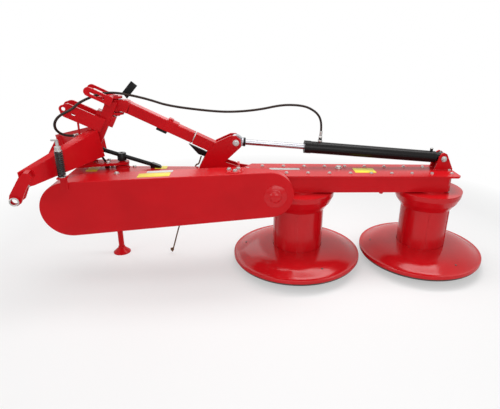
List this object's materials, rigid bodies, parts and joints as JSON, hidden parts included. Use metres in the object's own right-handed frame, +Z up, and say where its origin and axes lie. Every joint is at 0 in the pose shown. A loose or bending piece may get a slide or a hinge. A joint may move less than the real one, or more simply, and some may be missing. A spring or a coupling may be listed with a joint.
{
  "type": "drum mower",
  "caption": "Tractor-mounted drum mower: folding hitch and boom carry a belt drive and a lifting cutter beam with turning drums, dished discs, blades and skid saucers.",
  "frame": {"origin": "on the ground at the sole of the inner skid saucer, under the inner drum's axis", "axes": "+X outwards along the cutter beam, +Y to the front at work, +Z up"},
  "size_m": [2.6926, 0.852, 1.037],
  "materials": {
    "red_paint": "gloss",
    "black_paint": "satin",
    "chrome_rod": "polished",
    "zinc": "satin",
    "dark_steel": "satin",
    "spring_steel": "satin",
    "rubber_hose": "matte",
    "rope_fibre": "matte"
  },
  "bodies": {
    "carrier": {"boom_tube": "red_paint", "belt_guard": "red_paint", "guard_backplate": "red_paint", "pulley_cap": "red_paint", "pivot_yoke": "red_paint", "pivot_shaft": "zinc", "drive_input": "dark_steel", "inner_bracket": "red_paint", "strut_outer": "red_paint", "strut_inner": "red_paint", "latch_lever": "black_paint", "king_lug": "red_paint", "breakaway_tube": "black_paint", "tensioner_seat": "red_paint", "tensioner_spring": "spring_steel", "tensioner_rod": "zinc", "stand_bracket": "red_paint", "hose_lift": "rubber_hose", "hose_tail": "rubber_hose", "pull_rope": "rope_fibre"},
    "hitch": {"mast": "red_paint", "upper_fork": "red_paint", "hitch_foot": "red_paint", "slotted_plates": "red_paint", "toplink_plates": "red_paint", "arm_near": "red_paint", "arm_far": "red_paint", "knuckle_near": "red_paint", "knuckle_far": "red_paint", "hose_plug": "zinc"},
    "leg": {"stand_leg": "red_paint"},
    "cutter": {"cutter_beam": "red_paint", "beam_lid": "red_paint", "pivot_neck": "red_paint", "outer_bracket": "red_paint", "collar_inner": "red_paint", "collar_outer": "red_paint"},
    "inner_drum": {"drum_inner": "red_paint", "disc_inner": "red_paint", "blades_inner": "dark_steel"},
    "outer_drum": {"drum_outer": "red_paint", "disc_outer": "red_paint", "blades_outer": "dark_steel"},
    "inner_saucer": {"saucer_inner": "dark_steel"},
    "outer_saucer": {"saucer_outer": "dark_steel"},
    "barrel": {"ram_barrel": "black_paint", "hose_end": "rubber_hose"},
    "rod": {"ram_rod": "chrome_rod"}
  },
  "joints": [
    {"name": "hitch_swing", "type": "hinge", "parent": "carrier", "child": "hitch", "pos_m": [-1, 0.054, 0.6], "axis": [0, 0, 1], "range_deg": [-99, 0], "deforming": ["hose_tail"]},
    {"name": "cutter_lift", "type": "hinge", "parent": "carrier", "child": "cutter", "pos_m": [-0.162, 0, 0.528], "axis": [0, -1, 0], "range_deg": [0, 40], "deforming": ["hose_lift"]},
    {"name": "barrel_swing", "type": "hinge", "parent": "cutter", "child": "barrel", "pos_m": [0.881, 0.054, 0.664], "axis": [0, -1, 0], "range_deg": [-6, 0], "deforming": ["hose_end"]},
    {"name": "rod_slide", "type": "slide", "parent": "barrel", "child": "rod", "axis": [0.9978, 0, -0.0666], "range_m": [0, 0.18]},
    {"name": "inner_drum_spin", "type": "hinge", "parent": "cutter", "child": "inner_drum", "pos_m": [0, 0, 0.2], "axis": [0, 0, 1], "continuous": true},
    {"name": "outer_drum_spin", "type": "hinge", "parent": "cutter", "child": "outer_drum", "pos_m": [0.8, 0, 0.2], "axis": [0, 0, 1], "continuous": true},
    {"name": "inner_saucer_spin", "type": "hinge", "parent": "cutter", "child": "inner_saucer", "pos_m": [0, 0, 0.03], "axis": [0, 0, 1], "continuous": true},
    {"name": "outer_saucer_spin", "type": "hinge", "parent": "cutter", "child": "outer_saucer", "pos_m": [0.8, 0, 0.03], "axis": [0, 0, 1], "continuous": true},
    {"name": "stand_fold", "type": "hinge", "parent": "carrier", "child": "leg", "pos_m": [-1.088, 0.165, 0.54], "axis": [0, -1, 0], "range_deg": [0, 90]}
  ],
  "couplings": [
    {"joint": "barrel_swing", "follows": "cutter_lift", "ratio": -0.13683},
    {"joint": "rod_slide", "follows": "cutter_lift", "m_per_rad": 0.24958},
    {"joint": "outer_drum_spin", "follows": "inner_drum_spin", "ratio": -1}
  ]
}
